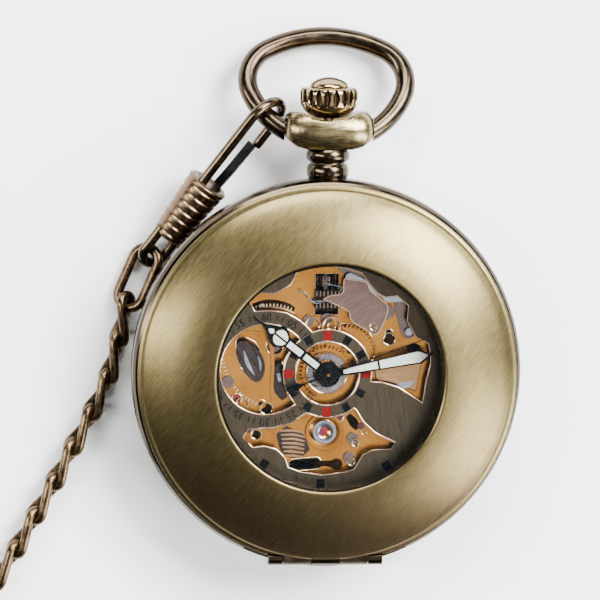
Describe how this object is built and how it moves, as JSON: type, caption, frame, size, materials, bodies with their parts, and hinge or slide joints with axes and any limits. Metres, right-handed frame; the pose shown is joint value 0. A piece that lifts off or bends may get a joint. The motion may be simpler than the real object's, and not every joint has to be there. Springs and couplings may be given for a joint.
{
  "type": "pocket watch",
  "caption": "Half-hunter pocket watch lying face up: hinged lid with a round window, cut-out dial over a geared movement, crown, bow, snap hook and chain.",
  "frame": {"origin": "centre of the flat on the back cover, on the surface the watch lies on", "axes": "+Z is the dial's normal, out of the face; +Y runs from the centre to 12 o'clock and the crown; +X to 3 o'clock"},
  "size_m": [0.1075, 0.0807, 0.0142],
  "materials": {
    "case_dark": "dark antique plating, polished edges",
    "case_gold": "brushed antique bronze",
    "lid_bronze": "brushed antique bronze, fine slanting strokes",
    "black_rim": "black, satin",
    "crystal": "clear, polished",
    "crown_copper": "coppery bronze, satin",
    "bow_bronze": "antique bronze, rubbed bright on the high spots",
    "chain_brass": "antique brass, dark in the recesses",
    "gate_black": "blackened steel",
    "dial_olive": "dark olive brown, brushed, bright bevels",
    "mark_black": "printed black",
    "mark_red": "printed red",
    "hand_black": "black lacquer with cream filling",
    "gilt": "gilt, satin",
    "steel": "polished and brushed steel",
    "spring_steel": "spring steel",
    "ruby": "synthetic ruby, polished"
  },
  "bodies": {
    "case": {"case_middle": "case_dark", "back_cover": "case_gold", "pendant": "case_gold", "movement_ring": "gilt", "dial_surround": "black_rim", "bezel": "case_dark", "crystal": "crystal", "lift_spring": "spring_steel", "hinge_pin": "case_gold", "main_plate": "gilt", "dial_plate": "dial_olive", "dial_marks": "mark_black", "dial_reds": "mark_red", "barrel_bridge": "gilt", "train_bridge": "gilt", "pallet_cock": "gilt", "balance_cock": "gilt", "screws": "steel", "jewels": "ruby", "jewel_settings": "steel", "lever_spring": "steel"},
    "lid": {"lid": "lid_bronze", "window_ring": "black_rim"},
    "lock_spring": {"lock_spring": "spring_steel"},
    "stem": {"stem_collar": "crown_copper"},
    "crown": {"crown": "crown_copper", "crown_cap": "crown_copper", "winding_stem": "steel", "sliding_pinion": "steel"},
    "winding_pinion": {"winding_pinion": "steel"},
    "crown_wheel": {"crown_wheel": "steel"},
    "ratchet": {"barrel_arbor": "steel", "ratchet_wheel": "steel"},
    "click": {"click": "steel"},
    "setting_lever": {"setting_lever": "steel"},
    "yoke": {"yoke": "steel"},
    "centre": {"centre_wheel": "gilt", "cannon_pinion": "steel", "minute_hand": "hand_black"},
    "barrel": {"barrel": "gilt", "barrel_cover": "gilt", "mainspring": "spring_steel"},
    "third": {"third_wheel": "gilt"},
    "fourth": {"fourth_wheel": "gilt", "seconds_hand": "hand_black"},
    "escape": {"escape_wheel": "steel"},
    "pallet": {"pallet_fork": "steel"},
    "balance": {"balance_wheel": "gilt", "hairspring": "spring_steel"},
    "regulator": {"regulator": "steel"},
    "minute": {"minute_wheel": "gilt"},
    "hour": {"hour_wheel": "gilt", "hour_hand": "hand_black"},
    "bow": {"bow": "bow_bronze"},
    "hook": {"hook": "chain_brass", "hook_barrel": "chain_brass", "chain_run": "chain_brass", "chain_coil": "chain_brass", "far_hook": "chain_brass"},
    "gate": {"hook_gate": "gate_black"}
  },
  "joints": [
    {"name": "lid_hinge", "type": "hinge", "parent": "case", "child": "lid", "pos_m": [0, -0.02235, 0.0103], "axis": [1, 0, 0], "range_deg": [0, 95]},
    {"name": "lock_spring_flex", "type": "hinge", "parent": "case", "child": "lock_spring", "pos_m": [0.0147, 0.0152, 0.009], "axis": [0, 0, 1], "range_deg": [0, 0.5], "stiffness_Nm_per_rad": 0.05},
    {"name": "stem_slide", "type": "slide", "parent": "case", "child": "stem", "axis": [0, 1, 0], "range_m": [-0.0005, 0.001], "stiffness_N_per_m": 400},
    {"name": "crown_spin", "type": "hinge", "parent": "stem", "child": "crown", "pos_m": [0, 0.03, 0.0066], "axis": [0, 1, 0], "continuous": true},
    {"name": "winding_pinion_spin", "type": "hinge", "parent": "case", "child": "winding_pinion", "pos_m": [0, 0.011, 0.0066], "axis": [0, 1, 0], "continuous": true},
    {"name": "crown_wheel_spin", "type": "hinge", "parent": "case", "child": "crown_wheel", "pos_m": [0, 0.00891, 0.004], "axis": [0, 0, 1], "continuous": true},
    {"name": "ratchet_spin", "type": "hinge", "parent": "case", "child": "ratchet", "pos_m": [-0.0062, 0.0031, 0.004], "axis": [0, 0, 1], "continuous": true},
    {"name": "click_flex", "type": "hinge", "parent": "case", "child": "click", "pos_m": [-0.0126, -0.0019, 0.004], "axis": [0, 0, 1], "range_deg": [0, 12], "stiffness_Nm_per_rad": 0.0001},
    {"name": "setting_lever_turn", "type": "hinge", "parent": "case", "child": "setting_lever", "pos_m": [0.0054, 0.0064, 0.0085], "axis": [0, 0, 1], "range_deg": [-17, 10]},
    {"name": "yoke_turn", "type": "hinge", "parent": "case", "child": "yoke", "pos_m": [0.0099, 0.005, 0.0081], "axis": [0, 0, 1], "range_deg": [-4.2, 7]},
    {"name": "centre_spin", "type": "hinge", "parent": "case", "child": "centre", "pos_m": [0, 0, 0.006], "axis": [0, 0, 1], "continuous": true},
    {"name": "barrel_spin", "type": "hinge", "parent": "case", "child": "barrel", "pos_m": [-0.0062, 0.0031, 0.005], "axis": [0, 0, 1], "continuous": true},
    {"name": "third_spin", "type": "hinge", "parent": "case", "child": "third", "pos_m": [0.0035, 0.00343, 0.004], "axis": [0, 0, 1], "continuous": true},
    {"name": "fourth_spin", "type": "hinge", "parent": "case", "child": "fourth", "pos_m": [0, 0, 0.004], "axis": [0, 0, 1], "continuous": true},
    {"name": "escape_spin", "type": "hinge", "parent": "case", "child": "escape", "pos_m": [0.0032, -0.00371, 0.004], "axis": [0, 0, 1], "continuous": true},
    {"name": "pallet_rock", "type": "hinge", "parent": "case", "child": "pallet", "pos_m": [0.00162, -0.0055, 0.0053], "axis": [0, 0, 1], "range_deg": [-5, 5]},
    {"name": "balance_swing", "type": "hinge", "parent": "case", "child": "balance", "pos_m": [-0.0004, -0.0071, 0.004], "axis": [0, 0, 1], "range_deg": [-270, 270], "stiffness_Nm_per_rad": 0.0000002},
    {"name": "regulator_turn", "type": "hinge", "parent": "case", "child": "regulator", "pos_m": [-0.0004, -0.0071, 0.0013], "axis": [0, 0, 1], "range_deg": [-15, 15]},
    {"name": "minute_wheel_spin", "type": "hinge", "parent": "case", "child": "minute", "pos_m": [0.00272, 0.00271, 0.0081], "axis": [0, 0, 1], "continuous": true},
    {"name": "hour_spin", "type": "hinge", "parent": "case", "child": "hour", "pos_m": [0, 0, 0.0086], "axis": [0, 0, 1], "continuous": true},
    {"name": "bow_swing", "type": "hinge", "parent": "case", "child": "bow", "pos_m": [0, 0.0291, 0.0066], "axis": [1, 0, 0], "range_deg": [0, 30]},
    {"name": "hook_hang", "type": "hinge", "parent": "bow", "child": "hook", "pos_m": [-0.008, 0.0304, 0.0064], "axis": [1, 0, 0], "range_deg": [-30, 0]},
    {"name": "gate_flex", "type": "hinge", "parent": "hook", "child": "gate", "pos_m": [-0.0134, 0.02155, 0.00279], "axis": [0.5872, -0.5897, 0.5544], "range_deg": [0, 18], "stiffness_Nm_per_rad": 0.01}
  ],
  "couplings": [
    {"joint": "winding_pinion_spin", "follows": "crown_spin", "ratio": 1},
    {"joint": "crown_wheel_spin", "follows": "crown_spin", "ratio": 0.53846},
    {"joint": "ratchet_spin", "follows": "crown_spin", "ratio": -0.19444},
    {"joint": "setting_lever_turn", "follows": "stem_slide", "rad_per_m": -280},
    {"joint": "yoke_turn", "follows": "stem_slide", "rad_per_m": 114},
    {"joint": "barrel_spin", "follows": "centre_spin", "ratio": -0.13889},
    {"joint": "third_spin", "follows": "centre_spin", "ratio": -8},
    {"joint": "fourth_spin", "follows": "centre_spin", "ratio": 60},
    {"joint": "escape_spin", "follows": "centre_spin", "ratio": -600},
    {"joint": "minute_wheel_spin", "follows": "centre_spin", "ratio": -0.33333},
    {"joint": "hour_spin", "follows": "centre_spin", "ratio": 0.083333},
    {"joint": "bow_swing", "follows": "hook_hang", "ratio": -1}
  ]
}
